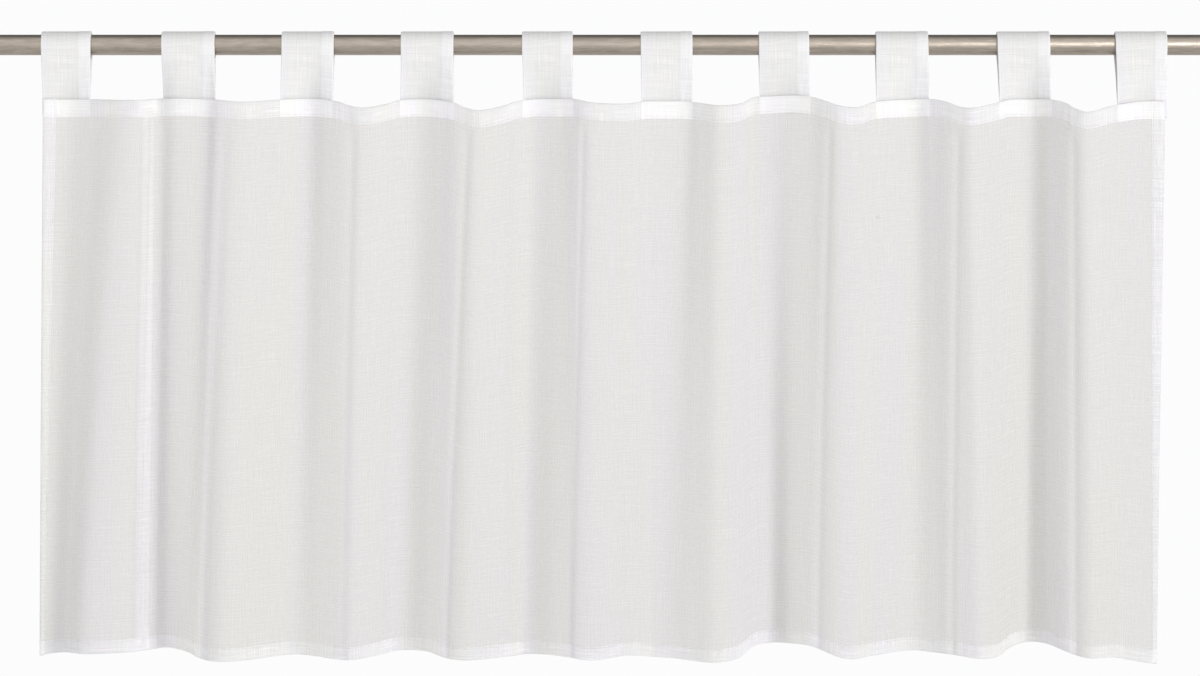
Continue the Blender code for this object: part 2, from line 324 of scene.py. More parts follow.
class HungCloth:
    """The shape in which the cloth hangs. A place counts the folds, and a drop is a distance down."""

    NEAR = 0.04
    TABLE_STEPS = 40
    HEM_STARTS = 0.96
    HEM_FREEDOM = 0.25

    def __init__(self, cloth):
        self.cloth = cloth
        self.length = HEADER_EDGE_Z - BOTTOM_EDGE_Z
        self.last = len(FOLDS) - 1
        header = Vector((0, 0, HEADER_EDGE_Z))
        bottom = Vector((0, 0, BOTTOM_EDGE_Z))
        self.tops = [Vector((f.head_x, f.head_y, -f.head_sag)) * MM + header for f in FOLDS]
        self.bottoms = [Vector((f.hem_x, f.hem_y, f.hem_lift)) * MM + bottom for f in FOLDS]
        self.places = [step / self.TABLE_STEPS for step in range(self.last * self.TABLE_STEPS + 1)]
        self.header_line = [point_on_curve(self.tops, place) for place in self.places]
        self.header_run = self.distances(self.header_line)
        self.bottom_run = self.distances([point_on_curve(self.bottoms, p) for p in self.places])

    @staticmethod
    def distances(line):
        along = [0.0]
        for near, far in zip(line, line[1:]):
            along.append(along[-1] + (far - near).length)
        return along

    def read(self, table, place):
        """The value of a table of distances at this place."""
        index = min(int(place * self.TABLE_STEPS), len(table) - 2)
        share = place * self.TABLE_STEPS - index
        return table[index] + (table[index + 1] - table[index]) * share

    def place_at(self, distance):
        """The place whose distance along the header is this one."""
        index = min(max(bisect_left(self.header_run, distance), 1), len(self.places) - 1)
        low, high = self.header_run[index - 1], self.header_run[index]
        share = (distance - low) / (high - low)
        return self.places[index - 1] + (self.places[index] - self.places[index - 1]) * share

    def place_under(self, x):
        """The first place at which the header's edge is this far along the rod."""
        for index in range(1, len(self.header_line)):
            near, far = self.header_line[index - 1].x, self.header_line[index].x
            if near <= x < far:
                share = (x - near) / (far - near)
                return self.places[index - 1] + share / self.TABLE_STEPS
        return 0.0 if x < 0 else float(self.last)

    def side_distance(self, place):
        """The distance along the header to the nearer side edge."""
        distance = self.read(self.header_run, place)
        return min(distance, self.header_run[-1] - distance)

    def width_at(self, place):
        """The distance across the flat cloth, as the mean of its two edges."""
        return (self.read(self.header_run, place) + self.read(self.bottom_run, place)) / 2

    def edges(self, place):
        return point_on_curve(self.tops, place), point_on_curve(self.bottoms, place)

    def fallen(self, drop):
        """How far the folds have changed to those of the bottom edge. The header hem is stiff."""
        left_to_fall = min(1.0, (self.length - drop) / (self.length - self.cloth.header_hem))
        return 1 - left_to_fall**FOLD_EASE

    def front(self, top, bottom, drop):
        """A point of the cloth's front."""
        point = top.lerp(bottom, self.fallen(drop))
        point.z = top.z + (bottom.z - top.z) * drop / self.length
        return point

    def creasing(self, x, drop):
        """How deep the fine creases are here. They start below the stiff header hem."""
        share = self.fallen(drop)
        depth = 0.0
        for crease in CREASES:
            away = (x / MM - crease.head_x - (crease.hem_x - crease.head_x) * share) / crease.half_width
            if abs(away) < 3:
                deepest = crease.head_depth + (crease.hem_depth - crease.head_depth) * share
                depth += deepest * math.exp(-away * away)
        return depth * MM * smooth_share(drop, self.cloth.header_hem, self.cloth.header_hem + 0.02)

    def unevenness(self, across, drop):
        """How far the cloth strays backwards, from a slow sway and from small puckers."""
        share = min(max((drop - self.cloth.header_hem) / self.length, 0.0), 1.0)
        free = self.HEM_FREEDOM
        if share < self.HEM_STARTS:
            free = math.sin(math.pi * share * 1.04) ** 0.6
        slow = noise.noise(Vector((across * 13, drop * 6, 4.7)))
        small = noise.noise(Vector((across * 60, drop * 28, 9.1)))
        hem = noise.noise(Vector((across * 150, drop * 40, 2.3)))
        near_hem = 1 - smooth_share(min(drop, self.length - drop), 0.012, 0.040)
        return self.cloth.sway * free * slow + self.cloth.pucker * (small + near_hem * hem)

    def frame_at(self, place, drop):
        """A point of the front, the way across the cloth and the way back from it."""
        point = self.front(*self.edges(place), drop)
        before = self.front(*self.edges(place - self.NEAR), drop)
        after = self.front(*self.edges(place + self.NEAR), drop)
        run = (after - before).normalized()
        back = Vector((-run.y, run.x, 0)).normalized()
        stray = self.unevenness(self.width_at(place), drop) + self.creasing(point.x, drop)
        return point + back * stray, run, back

    def tail_start(self, x):
        """Where a tab's tail starts behind the header at this place along the rod."""
        place = self.place_under(x)
        run = self.frame_at(place, 0.0)[1]
        slant = 1 / max(abs(run.x), 0.2)
        header = point_on_curve(self.tops, place)
        return header.y + (CAD_HEM_THICKNESS + SEAM_CLEARANCE) * slant, header.z

    def behind_a_tab(self, place):
        x = point_on_curve(self.tops, place).x / MM
        return any(tab.head_left <= x <= tab.head_right for tab in TABS)


# A column of the cloth's mesh, and a row. Turned is 0 on the front, 0.5 on the folded edge and 1 on
# the layer behind it.
Column = namedtuple("Column", "place turned side")
Row = namedtuple("Row", "drop turned")
EDGE_STEP = 0.0004
HEM_ROUNDING = 0.0002
TAB_LAYERS = 4
SLANT_PAINTED_LIGHT_POWER = 0.8


def hem_distances(depth, steps):
    """Distances from a folded edge to the inner edge of its hem."""
    return [HEM_ROUNDING + (depth - HEM_ROUNDING) * step / steps for step in range(steps + 1)]


def cloth_columns(shape):
    """The columns of the mesh, from the left hem's inner edge round to the right hem's."""
    cloth = shape.cloth
    total = shape.header_run[-1]
    hem = hem_distances(cloth.side_hem, 3)
    fine = [*hem[:-1], cloth.side_hem - EDGE_STEP, cloth.side_hem + EDGE_STEP]
    places = {step / cloth.fold_steps for step in range(shape.last * cloth.fold_steps + 1)}
    places = {p for p in places if shape.side_distance(p) > cloth.side_hem + 2 * EDGE_STEP}
    for tab in TABS:
        for edge in (tab.head_left, tab.head_right):
            middle = shape.read(shape.header_run, shape.place_under(edge * MM))
            if cloth.side_hem < middle < total - cloth.side_hem:
                near = shape.place_at(middle - EDGE_STEP), shape.place_at(middle + EDGE_STEP)
                places = {p for p in places if not near[0] - 0.03 < p < near[1] + 0.03}
                places.update(near)
    places.update(shape.place_at(distance) for distance in fine)
    places.update(shape.place_at(total - distance) for distance in fine)

    left = [Column(shape.place_at(d), 1.0, -1) for d in reversed(hem)]
    right = [Column(shape.place_at(total - d), 1.0, 1) for d in hem]
    middle = [Column(place, 0.0, 0) for place in sorted(places)]
    return [*left, Column(0.0, 0.5, -1), *middle, Column(float(shape.last), 0.5, 1), *right]


def cloth_rows(shape):
    """The rows of the mesh, from the header hem's inner edge round to the bottom hem's."""
    cloth = shape.cloth
    length = shape.length
    header = hem_distances(cloth.header_hem, 4)
    bottom = hem_distances(cloth.bottom_hem, 3)
    first = cloth.header_hem + EDGE_STEP
    last = length - cloth.bottom_hem - EDGE_STEP
    bands = round((last - first) / cloth.row_height)
    body = [first + (last - first) * band / bands for band in range(bands + 1)]
    front = [*header[:-1], cloth.header_hem - EDGE_STEP, *body]
    front += [length - cloth.bottom_hem + EDGE_STEP, *[length - d for d in reversed(bottom[:-1])]]
    rows = [Row(drop, 1.0) for drop in reversed(header)]
    rows.append(Row(0.0, 0.5))
    rows += [Row(drop, 0.0) for drop in front]
    rows.append(Row(length, 0.5))
    return rows + [Row(length - d, 1.0) for d in bottom]


def layer_of(row, column, in_side_hem):
    """Which layer this is, counted back from the front. The side hems are turned in first."""
    if row.turned == 0.0:
        return column.turned
    if row.turned == 1.0:
        return 3 - column.turned if in_side_hem else 1.0
    return 1.5 if in_side_hem else 0.5


def cloth_vertex(shape, row, column):
    """The place of one vertex, its place on the flat cloth, and its layers with painted slant
    brightening.
    """
    cloth = shape.cloth
    in_side_hem = shape.side_distance(column.place) <= cloth.side_hem
    point, run, back = shape.frame_at(column.place, row.drop)
    layer = layer_of(row, column, in_side_hem)
    point = point + back * (cloth.set_back + layer * cloth.hem_gap)
    if column.turned == 0.5:
        point += run * column.side * cloth.hem_gap / 2
    if row.turned == 0.5:
        rise = (1.5 - column.turned if in_side_hem else 0.5) * cloth.hem_gap
        point.z += rise if row.drop == 0.0 else -rise

    across = shape.width_at(column.place)
    if column.turned == 1.0:
        edge = shape.width_at(0.0 if column.side < 0 else float(shape.last))
        across = 2 * edge - across
    down = row.drop
    if row.turned == 1.0:
        down = -row.drop if row.drop < shape.length / 2 else 2 * shape.length - row.drop

    in_header = row.drop <= cloth.header_hem
    in_hem = in_header or row.drop >= shape.length - cloth.bottom_hem
    layers = (2 if in_hem else 1) * (2 if in_side_hem else 1)
    if in_header and shape.behind_a_tab(column.place):
        layers += TAB_LAYERS
    # A cloth that hangs at a slant to the rod shows more thread to the front, so it is more opaque
    # there; its colour is whitened there too, a painted brightening of the fold sides as seen from the
    # front.
    slant = 1 / max(abs(run.x) / math.hypot(run.x, run.y), 0.3)
    return point, (across, down), layers - 1 + slant**SLANT_PAINTED_LIGHT_POWER


def new_mesh_object(name, vertices, faces, material):
    mesh = bpy.data.meshes.new(name)
    mesh.from_pydata(vertices, [], faces)
    mesh.shade_smooth()
    mesh.materials.append(material)
    obj = bpy.data.objects.new(name, mesh)
    bpy.context.scene.collection.objects.link(obj)
    return obj


def set_cloth_map(obj, places):
    """Stores each vertex's place on the flat cloth, in metres, as a UV map."""
    mesh = obj.data
    cloth_map = mesh.uv_layers.new(name="cloth")
    corners = [0.0] * (2 * len(mesh.loops))
    for loop in mesh.loops:
        corners[2 * loop.index : 2 * loop.index + 2] = places[loop.vertex_index]
    cloth_map.data.foreach_set("uv", corners)


def set_layers(obj, layers):
    """Stores how many layers of cloth lie at each vertex, raised on the panel by painted slant
    brightening.
    """
    attribute = obj.data.attributes.new("layers", "FLOAT", "POINT")
    attribute.data.foreach_set("value", layers)


def grid_faces(rows, columns):
    faces = []
    for row in range(rows - 1):
        for column in range(columns - 1):
            upper = row * columns + column
            lower = upper + columns
            faces.append((upper, lower, lower + 1, upper + 1))
    return faces


def make_panel(shape, material):
    """The cloth as one sheet, with its four hems turned to the back."""
    columns = cloth_columns(shape)
    rows = cloth_rows(shape)
    vertices = [cloth_vertex(shape, row, column) for row in rows for column in columns]
    faces = grid_faces(len(rows), len(columns))
    panel = new_mesh_object("cloth_panel", [v[0] for v in vertices], faces, material)
    set_cloth_map(panel, [v[1] for v in vertices])
    set_layers(panel, [v[2] for v in vertices])
    return panel


# One line of a tab's mesh: its place in Y and Z, the way out from the rod, half its thickness, its
# height up the leg from 0 to 1 and its distance along the strip.
TabStep = namedtuple("TabStep", "point outward half height run")
TAB_LEG_STEPS = 16
TAB_ARC_STEPS = 22
TAB_TAIL_STEPS = 4
TAB_SEAM_STEP = 0.012
TAB_EDGE_ROUNDING = 0.02
TAB_BODY_THICKNESS = 0.84
TAB_LAYER_GAP = 0.54
TAB_DEPTH = 2.08


def tab_centre_line(tabs, front_y, header_z):
    """The middle of a tab's thickness from its front tail over the rod to its back tail."""
    radius = (ROD_DIAMETER + tabs.thickness_on_rod) / 2 + tabs.clearance
    seam = tabs.thickness_at_seam
    seam_z = header_z + TAB_CROTCH_LIFT
    crotch = Vector((front_y + seam, seam_z))
    reach = math.acos(radius / crotch.length)
    facing = math.atan2(crotch.y, crotch.x)
    start = facing - reach + 2 * math.pi
    end = facing + reach

    def on_circle(angle):
        return Vector((math.cos(angle), math.sin(angle))) * radius

    def straight(near, far, steps):
        return [near.lerp(far, step / steps) for step in range(steps)]

    gap = Vector((seam * TAB_LAYER_GAP, 0))
    tail = Vector((0, header_z - tabs.tail - seam_z))
    line = straight(crotch - gap + tail, crotch - gap, TAB_TAIL_STEPS)
    line += straight(crotch - gap, on_circle(start), TAB_LEG_STEPS)
    for step in range(TAB_ARC_STEPS):
        line.append(on_circle(start + (end - start) * step / TAB_ARC_STEPS))
    line += straight(on_circle(end), crotch + gap, TAB_LEG_STEPS)
    line += straight(crotch + gap, crotch + gap + tail, TAB_TAIL_STEPS)
    return [*line, crotch + gap + tail]


def tab_steps(tabs, front_y, header_z):
    """The lines of a tab's mesh at one place across it."""
    line = tab_centre_line(tabs, front_y, header_z)
    steps = []
    distance = 0.0
    for index, point in enumerate(line):
        before = line[max(index - 1, 0)]
        after = line[min(index + 1, len(line) - 1)]
        run = (after - before).normalized()
        distance += (point - before).length if index else 0.0
        height = min(max((point.y - header_z) / -header_z, 0.0), 1.0)
        grown = tabs.thickness_on_rod - tabs.thickness_at_seam
        half = (tabs.thickness_at_seam + grown * smooth_share(height, 0.0, 0.9)) / 2
        steps.append(TabStep(point, Vector((-run.y, run.x)), half, height, distance))
    return steps


def tab_shares(tabs, width):
    """The columns across a tab, from 0 to 1, close together at its edges and its seam."""
    right = 1 - tabs.right_seam / width
    edge = [0.0, 0.003, 0.009, 0.02, 0.04]
    middle = [0.04 + (right - 0.04) * step / 10 for step in range(1, 10)]
    strip = [right + (1 - right) * step / 3 for step in (1, 2)]
    seam = [right - TAB_SEAM_STEP, right + TAB_SEAM_STEP]
    return sorted([*edge, *[1 - share for share in edge], *seam, *middle, *strip])


def tab_profile(tabs, share, width):
    """How thick a tab is at this share of its width, and how many layers it has there."""
    right = 1 - tabs.right_seam / width
    seam = smooth_share(share, right - TAB_SEAM_STEP, right + TAB_SEAM_STEP)
    folded = 1 - smooth_share(share, 0.0, 0.04)
    inside = min(share, 1 - share) / TAB_EDGE_ROUNDING
    rounding = math.sqrt(max(1 - (1 - min(inside, 1.0)) ** 2, 0.0))
    thick = TAB_BODY_THICKNESS + (1 - TAB_BODY_THICKNESS) * seam
    return rounding * thick, 2 + 2 * max(seam, folded)


def make_tab(number, tab, shape, tabs, material):
    """A tab as a flat sewn tube of cloth, swept from its tail over the rod and back."""
    width = (tab.head_right - tab.head_left) * MM
    shares = tab_shares(tabs, width)
    columns = []
    for share in shares:
        head_x = (tab.head_left + (tab.head_right - tab.head_left) * share) * MM
        rod_x = (tab.rod_left + (tab.rod_right - tab.rod_left) * share) * MM
        columns.append((share, head_x, rod_x, tab_steps(tabs, *shape.tail_start(head_x))))

    def vertex(column, index, side):
        share, head_x, rod_x, steps = column
        step = steps[index]
        thick, layers = tab_profile(tabs, share, width)
        x = head_x + (rod_x - head_x) * step.height
        free = math.sin(math.pi * step.height) if step.height < 1 else 0.0
        stray = noise.noise(Vector((x * 22, step.run * 30, number * 7.3))) * tabs.sway * free
        lean = noise.noise(Vector((number * 3.1, step.run * 25, 1.7 + round(share)))) * free
        place = step.point + step.outward * (side * step.half * thick + stray)
        return Vector((x + lean * tabs.sway, place.x, place.y)), (share * width, step.run), layers

    count = len(columns[0][3])
    ring = [(column, 1) for column in columns] + [(column, -1) for column in columns[-2:0:-1]]
    vertices = [vertex(column, index, side) for index in range(count) for column, side in ring]
    around = len(ring)
    faces = []
    for index in range(count - 1):
        for corner in range(around):
            low = index * around + corner
            beside = index * around + (corner + 1) % around
            faces.append((low, beside, beside + around, low + around))
    faces.append(tuple(reversed(range(around))))
    faces.append(tuple(range((count - 1) * around, count * around)))

    piece = new_mesh_object(f"tab_cloth_{number:02d}", [v[0] for v in vertices], faces, material)
    set_cloth_map(piece, [v[1] for v in vertices])
    set_layers(piece, [v[2] for v in vertices])
    run = max(v[1][1] for v in vertices)
    return piece, width, run


STITCH_SIDES = 6
STITCH_SHARES = (0.0, 0.14, 0.5, 0.86, 1.0)


def stitch_rings(start, end, back, thread):
    """The rings of one stitch, which is full in the middle and dips into the cloth at its ends."""
    run = (end - start).normalized()
    side = run.cross(back).normalized()
    rings = []
    for share in STITCH_SHARES:
        full = math.sin(math.pi * share)
        radius = thread / 2 * (0.35 + 0.65 * full)
        centre = start.lerp(end, share) - back * thread * (0.55 * full - 0.25)
        ring = []
        for corner in range(STITCH_SIDES):
            angle = 2 * math.pi * corner / STITCH_SIDES
            ring.append(centre + (side * math.cos(angle) + back * math.sin(angle)) * radius)
        rings.append(ring)
    return rings


def add_stitch(vertices, faces, rings):
    first = len(vertices)
    for ring in rings:
        vertices.extend(ring)
    for level in range(len(rings) - 1):
        for corner in range(STITCH_SIDES):
            low = first + level * STITCH_SIDES + corner
            beside = first + level * STITCH_SIDES + (corner + 1) % STITCH_SIDES
            faces.append((low, beside, beside + STITCH_SIDES, low + STITCH_SIDES))
    last = first + (len(rings) - 1) * STITCH_SIDES
    faces.append(tuple(range(first + STITCH_SIDES - 1, first - 1, -1)))
    faces.append(tuple(range(last, last + STITCH_SIDES)))


def stitch_lines(shape, stitches):
    """The four lines of stitching, each as a list of places and drops."""
    cloth = shape.cloth
    total = shape.header_run[-1]
    edge = stitches.inset
    header_drop = cloth.header_hem - edge
    bottom_drop = shape.length - cloth.bottom_hem + edge
    sides = (shape.place_at(cloth.side_hem - edge), shape.place_at(total - cloth.side_hem + edge))
    count = int(total / stitches.pitch)
    across = [shape.place_at(total * step / count) for step in range(1, count)]
    yield [(place, header_drop) for place in across]
    yield [(place, bottom_drop) for place in across]
    down = int((shape.length - 2 * edge) / stitches.pitch)
    for side in sides:
        yield [(side, shape.length * step / down) for step in range(1, down)]


def depth_behind(shape, tabs, place, drop):
    """How far behind the front of the cloth its rearmost layer lies."""
    cloth = shape.cloth
    in_side_hem = shape.side_distance(place) <= cloth.side_hem
    in_hem = drop <= cloth.header_hem or drop >= shape.length - cloth.bottom_hem
    layers = (3 if in_side_hem else 1) if in_hem else (1 if in_side_hem else 0)
    if drop <= cloth.header_hem and shape.behind_a_tab(place):
        return CAD_HEM_THICKNESS + SEAM_CLEARANCE + TAB_DEPTH * tabs.thickness_at_seam
    return cloth.set_back + layers * cloth.hem_gap


def make_stitching(name, shape, stitches, tabs, material, behind):
    """The stitches of all the hems on one side of the cloth, as one joined mesh."""
    vertices = []
    faces = []
    for line in stitch_lines(shape, stitches):
        for (place, drop), (next_place, next_drop) in zip(line, line[1:]):
            start, run, back = shape.frame_at(place, drop)
            end, next_run, next_back = shape.frame_at(next_place, next_drop)
            if behind:
                start = start + back * depth_behind(shape, tabs, place, drop)
                end = end + next_back * depth_behind(shape, tabs, next_place, next_drop)
                back = -back
            else:
                start = start + back * shape.cloth.set_back
                end = end + next_back * shape.cloth.set_back
            gap = (1 - stitches.length / stitches.pitch) / 2
            near, far = start.lerp(end, gap), start.lerp(end, 1 - gap)
            add_stitch(vertices, faces, stitch_rings(near, far, back, stitches.thread))
    return new_mesh_object(name, vertices, faces, material)


ROD_ROUNDING_STEPS = 4


def make_rod(rod, material):
    """The rod as a turned piece with rounded edges at its ends."""
    radius = rod.diameter / 2
    half = rod.length / 2
    profile = []
    for step in range(ROD_ROUNDING_STEPS + 1):
        angle = math.pi / 2 * step / ROD_ROUNDING_STEPS
        along = half - rod.chamfer * (1 - math.cos(angle))
        profile.append((along, radius - rod.chamfer * (1 - math.sin(angle))))
    profile = [(-along, size) for along, size in profile] + profile[::-1]
    vertices = []
    for along, size in profile:
        for side in range(rod.sides):
            angle = 2 * math.pi * side / rod.sides
            vertices.append((along, size * math.cos(angle), size * math.sin(angle)))
    faces = []
    for level in range(len(profile) - 1):
        for side in range(rod.sides):
            low = level * rod.sides + side
            beside = level * rod.sides + (side + 1) % rod.sides
            faces.append((low, low + rod.sides, beside + rod.sides, beside))
    last = (len(profile) - 1) * rod.sides
    faces.append(tuple(range(rod.sides)))
    faces.append(tuple(range(last + rod.sides - 1, last - 1, -1)))
    piece = new_mesh_object("rod_metal", vertices, faces, material)
    piece.data.set_sharp_from_angle(angle=math.radians(40))
    return piece


def new_node(tree, kind, **settings):
    node = tree.nodes.new(kind)
    for key, value in settings.items():
        setattr(node, key, value)
    return node


def feed(tree, value, socket):
    """Links a socket, or sets a plain value."""
    if isinstance(value, bpy.types.NodeSocket):
        tree.links.new(value, socket)
    else:
        socket.default_value = value


def calculate(tree, operation, first, second=0.0, third=0.0, clamp=False):
    node = new_node(tree, "ShaderNodeMath", operation=operation, use_clamp=clamp)
    for value, socket in zip((first, second, third), node.inputs):
        feed(tree, value, socket)
    return node.outputs[0]


def map_range(tree, value, low, high, new_low=0.0, new_high=1.0):
    """A soft change from one value to another, between low and high."""
    node = new_node(tree, "ShaderNodeMapRange", interpolation_type="SMOOTHSTEP")
    for name, setting in (
        ("Value", value),
        ("From Min", low),
        ("From Max", high),
        ("To Min", new_low),
        ("To Max", new_high),
    ):
        feed(tree, setting, node.inputs[name])
    return node.outputs["Result"]


def mix_colours(tree, share, first, second, blend="MIX"):
    node = new_node(tree, "ShaderNodeMix", data_type="RGBA", blend_type=blend)
    feed(tree, share, node.inputs["Factor"])
    for value, socket in ((first, node.inputs[6]), (second, node.inputs[7])):
        feed(tree, value if isinstance(value, bpy.types.NodeSocket) else (*value, 1.0), socket)
    return node.outputs[2]


def noise_at(tree, vector, scale, detail=2.0, roughness=0.5):
    node = new_node(tree, "ShaderNodeTexNoise", noise_dimensions="3D")
    feed(tree, vector, node.inputs["Vector"])
    feed(tree, scale, node.inputs["Scale"])
    feed(tree, detail, node.inputs["Detail"])
    feed(tree, roughness, node.inputs["Roughness"])
    return node.outputs["Fac"]


def combine(tree, x, y, z):
    node = new_node(tree, "ShaderNodeCombineXYZ")
    for value, socket in zip((x, y, z), node.inputs):
        feed(tree, value, socket)
    return node.outputs[0]


def new_group(name, inputs, outputs):
    """A shader node group with named sockets. An input is a name, a kind and a default."""
    group = bpy.data.node_groups.new(name, "ShaderNodeTree")
    for label, kind, default in inputs:
        socket = group.interface.new_socket(name=label, in_out="INPUT", socket_type=kind)
        if default is not None:
            socket.default_value = default
    for label, kind in outputs:
        group.interface.new_socket(name=label, in_out="OUTPUT", socket_type=kind)
    start = group.nodes.new("NodeGroupInput").outputs
    end = group.nodes.new("NodeGroupOutput").inputs
    return group, start, end


# The streaks of warmer and cooler cloth, which run down it.
TINT_WIDTH = 0.035
TINT_LENGTH = 0.90


def slub_weave_group():
    """A plain weave with slubs: thicker stretches of thread that run across and down the cloth."""
    group, start, end = new_group(
        "Slub weave",
        (
            ("Cloth Place", "NodeSocketVector", None),
            ("Thread Pitch", "NodeSocketFloat", 0.0006),
            ("Slub Width", "NodeSocketFloat", 0.0011),
            ("Slub Length", "NodeSocketFloat", 0.034),
        ),
        (
            ("Tone", "NodeSocketFloat"),
            ("Height", "NodeSocketFloat"),
            ("Cover", "NodeSocketFloat"),
            ("Tint", "NodeSocketFloat"),
        ),
    )
    split = new_node(group, "ShaderNodeSeparateXYZ")
    feed(group, start["Cloth Place"], split.inputs[0])
    across, down = split.outputs[0], split.outputs[1]

    # The threads bow a little, so that their rows aren't ruled lines.
    bow = noise_at(group, start["Cloth Place"], 22.0, 1.0)
    bow = calculate(group, "MULTIPLY", calculate(group, "SUBTRACT", bow, 0.5), 0.0018)
    bent_down = calculate(group, "ADD", down, bow)
    bent_across = calculate(group, "ADD", across, calculate(group, "MULTIPLY", bow, 0.5))

    def threads(distance):
        turns = calculate(group, "DIVIDE", distance, start["Thread Pitch"])
        return calculate(group, "SINE", calculate(group, "MULTIPLY", turns, math.pi))

    warp, weft = threads(bent_across), threads(bent_down)
    over = calculate(group, "SIGN", calculate(group, "MULTIPLY", warp, weft))
    over = calculate(group, "MULTIPLY_ADD", over, 0.5, 0.5)
    warp, weft = calculate(group, "ABSOLUTE", warp), calculate(group, "ABSOLUTE", weft)
    ridge = calculate(group, "MULTIPLY", warp, over)
    other = calculate(group, "MULTIPLY", weft, calculate(group, "SUBTRACT", 1.0, over))
    ridge = calculate(group, "ADD", ridge, other)

    def slubs(along, beside, seed):
        """Streaks that are long one way and narrow the other."""
        place = combine(
            group,
            calculate(group, "DIVIDE", along, start["Slub Length"]),
            calculate(group, "DIVIDE", beside, start["Slub Width"]),
            seed,
        )
        return noise_at(group, place, 1.0, 1.5, 0.6)

    rows = slubs(across, bent_down, 3.0)
    columns = slubs(down, bent_across, 8.0)
    patches = map_range(group, noise_at(group, start["Cloth Place"], 46.0, 1.0), 0.42, 0.58)
    rows = calculate(group, "SUBTRACT", rows, 0.5)
    columns = calculate(group, "SUBTRACT", columns, 0.5)
    row_part = calculate(group, "MULTIPLY", rows, map_range(group, patches, 0, 1, 0.8, 1.3))
    column_part = calculate(group, "MULTIPLY", columns, map_range(group, patches, 0, 1, 1.2, 0.65))
    tone = calculate(group, "ADD", row_part, column_part)
    thick = calculate(group, "MAXIMUM", calculate(group, "SUBTRACT", tone, 0.04), 0.0)
    tone = calculate(group, "MULTIPLY_ADD", thick, 0.7, tone)
    feed(group, tone, end["Tone"])

    height = calculate(group, "MULTIPLY_ADD", tone, 1.6, calculate(group, "MULTIPLY", ridge, 0.35))
    feed(group, height, end["Height"])
    cover = calculate(group, "MAXIMUM", warp, weft)
    cover = map_range(group, cover, 0.2, 0.8, -0.10, 0.03)
    cover = calculate(group, "MULTIPLY_ADD", tone, 0.16, cover)
    feed(group, cover, end["Cover"])
    streaks = combine(
        group,
        calculate(group, "DIVIDE", across, TINT_WIDTH),
        calculate(group, "DIVIDE", down, TINT_LENGTH),
        5.0,
    )
    feed(group, noise_at(group, streaks, 1.0, 2.0), end["Tint"])
    return group


def speck_group():
    """A small soft mark in the cloth, placed by its distance along the rod and its height."""
    group, start, end = new_group(
        "Speck",
        (
            ("Place", "NodeSocketVector", None),
            ("Centre", "NodeSocketVector", (0.0, 0.0, 0.0)),
            ("Radius", "NodeSocketFloat", 0.003),
            ("Strength", "NodeSocketFloat", 0.3),
        ),
        (("Shade", "NodeSocketFloat"),),
    )
    flat = new_node(group, "ShaderNodeVectorMath", operation="MULTIPLY")
    feed(group, start["Place"], flat.inputs[0])
    flat.inputs[1].default_value = (1.0, 0.0, 1.0)
    away = new_node(group, "ShaderNodeVectorMath", operation="DISTANCE")
    feed(group, flat.outputs[0], away.inputs[0])
    feed(group, start["Centre"], away.inputs[1])
    ragged = noise_at(group, start["Place"], 600.0, 2.0)
    ragged = calculate(group, "MULTIPLY_ADD", ragged, 0.8, 0.6)
    reach = calculate(group, "MULTIPLY", start["Radius"], ragged)
    near = calculate(group, "DIVIDE", away.outputs["Value"], reach)
    shade = map_range(group, near, 0.0, 1.0, 1.0, 0.0)
    feed(group, calculate(group, "MULTIPLY", shade, start["Strength"]), end["Shade"])
    return group


def new_material(name):
    material = bpy.data.materials.new(name)
    material.use_nodes = True
    return material, material.node_tree, material.node_tree.nodes["Principled BSDF"]


def place_group(tree, group, **values):
    node = new_node(tree, "ShaderNodeGroup", node_tree=group)
    for label, value in values.items():
        feed(tree, value, node.inputs[label.replace("_", " ")])
    return node.outputs


LAYER_WHITENING = 2.2
FEWEST_TAB_LAYERS = 2.0
FEWEST_CLOTH_LAYERS = 1.3
TONE_STRENGTH = 0.17
WARM_TINT = (1.0, 1.001, 0.977)
COOL_TINT = (0.998, 0.986, 1.004)
SPECK_COLOUR = (0.30, 0.30, 0.30)


